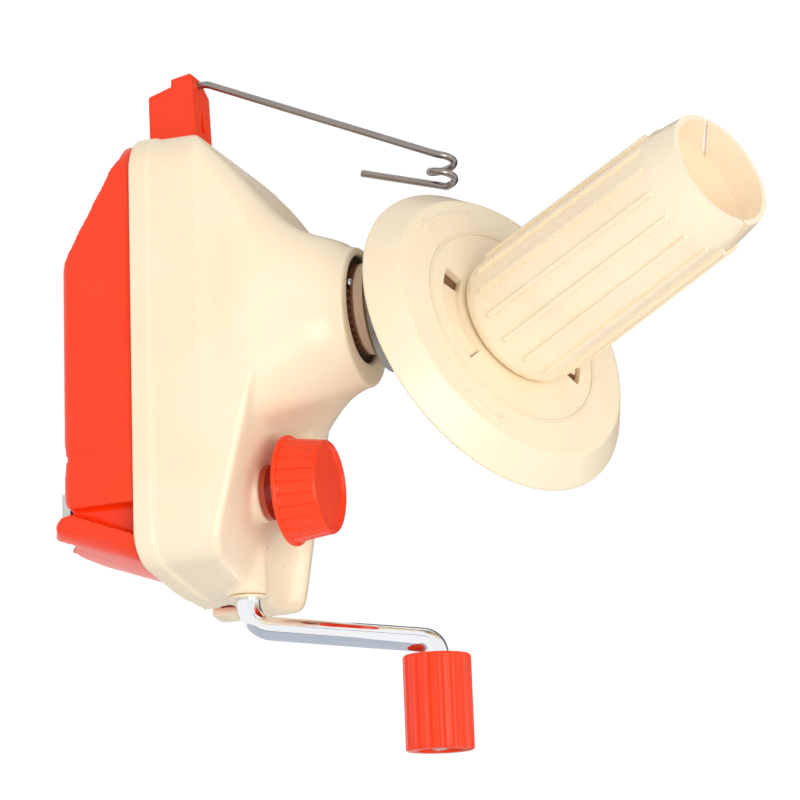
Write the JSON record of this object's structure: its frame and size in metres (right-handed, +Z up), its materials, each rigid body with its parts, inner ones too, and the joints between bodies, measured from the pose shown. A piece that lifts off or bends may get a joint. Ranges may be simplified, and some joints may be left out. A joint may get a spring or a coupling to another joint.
{
  "type": "yarn ball winder",
  "caption": "Hand-cranked yarn ball winder with a leaning spool on a bevel-geared rotor, a swinging wire guide and a screw clamp for a table edge.",
  "frame": {"origin": "the point of the base's flat seat that lies on the vertical spindle axis", "axes": "+Z up along the spindle axis, away from the table top; +X towards the crank; -Y towards the side of the clamp knob"},
  "size_m": [0.2103, 0.1028, 0.2138],
  "materials": {
    "cream_plastic": "moulded cream ABS, semi-gloss",
    "red_plastic": "moulded orange-red ABS, semi-gloss",
    "tan_plastic": "tan acetal, satin",
    "brown_plastic": "brown acetal, satin",
    "natural_plastic": "natural acetal, satin",
    "chromed_rod": "bright chromed steel rod",
    "steel": "zinc-plated steel",
    "wire_steel": "drawn steel wire",
    "cast_zinc": "die-cast zinc, dull",
    "jaw_steel": "bent steel strip, dark"
  },
  "bodies": {
    "housing": {"upper_housing": "cream_plastic", "lower_housing": "red_plastic", "housing_screws": "steel", "centre_post": "steel", "post_screw": "steel", "post_clip": "steel", "sun_pinion": "brown_plastic", "crank_bush": "natural_plastic", "clamp_bush": "brown_plastic"},
    "crank": {"crank_rod": "chromed_rod", "drive_gear": "natural_plastic", "gear_pin": "steel", "grip_washer": "steel"},
    "grip": {"crank_grip": "red_plastic"},
    "rotor": {"spindle_pinion": "brown_plastic", "lower_collar": "tan_plastic", "upper_collar": "tan_plastic", "collar_pin": "steel", "tilt_arm": "cast_zinc", "tilt_axle": "steel", "axle_washer": "steel", "axle_screw": "steel"},
    "spool": {"flange_disc": "cream_plastic", "disc_gear": "natural_plastic", "spool_tube": "cream_plastic"},
    "knob": {"clamp_knob": "red_plastic", "clamp_screw": "steel"},
    "jaw": {"clamp_jaw": "jaw_steel", "clamp_nut": "steel"},
    "guide": {"guide_holder": "red_plastic", "guide_wire": "wire_steel", "guide_pin": "steel"}
  },
  "joints": [
    {"name": "crank_turn", "type": "hinge", "parent": "housing", "child": "crank", "pos_m": [0, 0, 0.045], "axis": [1, 0, 0], "continuous": true},
    {"name": "grip_turn", "type": "hinge", "parent": "crank", "child": "grip", "pos_m": [0.117, 0, 0.102], "axis": [1, 0, 0], "continuous": true},
    {"name": "rotor_turn", "type": "hinge", "parent": "housing", "child": "rotor", "pos_m": [0, 0, 0.08], "axis": [0, 0, 1], "continuous": true},
    {"name": "spool_turn", "type": "hinge", "parent": "rotor", "child": "spool", "pos_m": [0, 0, 0.1465], "axis": [-0.3131, -0.4488, 0.837], "continuous": true},
    {"name": "knob_turn", "type": "hinge", "parent": "housing", "child": "knob", "pos_m": [0.054, -0.009, 0.062], "axis": [0, 0, 1], "range_deg": [0, 6336.01]},
    {"name": "jaw_travel", "type": "slide", "parent": "housing", "child": "jaw", "axis": [0, 0, -1], "range_m": [0, 0.022]},
    {"name": "guide_swing", "type": "hinge", "parent": "housing", "child": "guide", "pos_m": [-0.0526, 0, 0.0285], "axis": [1, 0, 0], "range_deg": [-70, 0]}
  ],
  "couplings": [
    {"joint": "rotor_turn", "follows": "crank_turn", "ratio": -3},
    {"joint": "spool_turn", "follows": "crank_turn", "ratio": -0.5},
    {"joint": "knob_turn", "follows": "jaw_travel", "rad_per_m": 5026.5}
  ]
}
